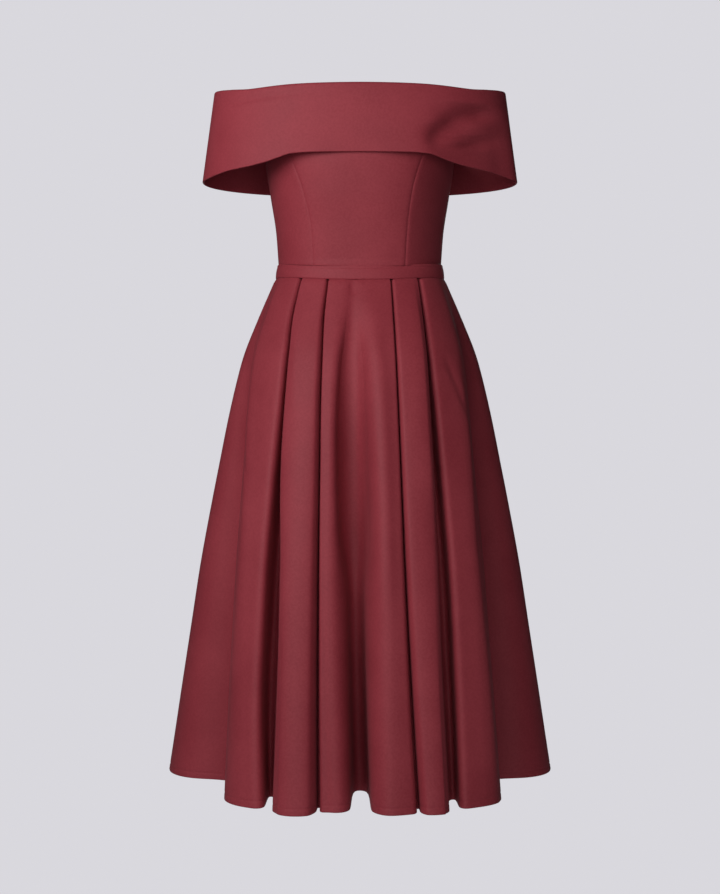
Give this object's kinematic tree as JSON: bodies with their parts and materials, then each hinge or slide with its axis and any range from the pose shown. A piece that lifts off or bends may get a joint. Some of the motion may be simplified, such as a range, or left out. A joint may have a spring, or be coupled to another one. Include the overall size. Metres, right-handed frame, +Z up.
{
  "type": "off-the-shoulder party dress",
  "caption": "Knee-covering party dress with a wide fold-over band round the upper arms, a fitted seamed bodice, a narrow waistband and a flared pleated skirt.",
  "frame": {"origin": "the middle of the waist, level with the side ends of the waist seam, where the wearer's waist holds the dress", "axes": "+Z up to the band, -Y towards the front of the dress, +X towards the wearer's left arm"},
  "size_m": [0.591, 0.5982, 1.0458],
  "materials": {
    "cloth": "heavy satin-backed crepe with a fine twill, soft sheen",
    "zip_tape": "woven tape, dull",
    "zip_metal": "enamelled to match the cloth"
  },
  "bodies": {
    "root": {"bodice_front": "cloth", "bodice_side_front_left": "cloth", "bodice_side_back_left": "cloth", "bodice_back_left": "cloth", "bodice_back_right": "cloth", "bodice_side_back_right": "cloth", "bodice_side_front_right": "cloth", "waistband_front": "cloth", "waistband_back_left": "cloth", "waistband_back_right": "cloth", "band_front": "cloth", "band_back_left": "cloth", "band_back_right": "cloth", "skirt_front": "cloth", "skirt_back_left": "cloth", "skirt_back_right": "cloth", "zip_tape": "zip_tape", "zip_slider": "zip_metal"}
  },
  "joints": []
}
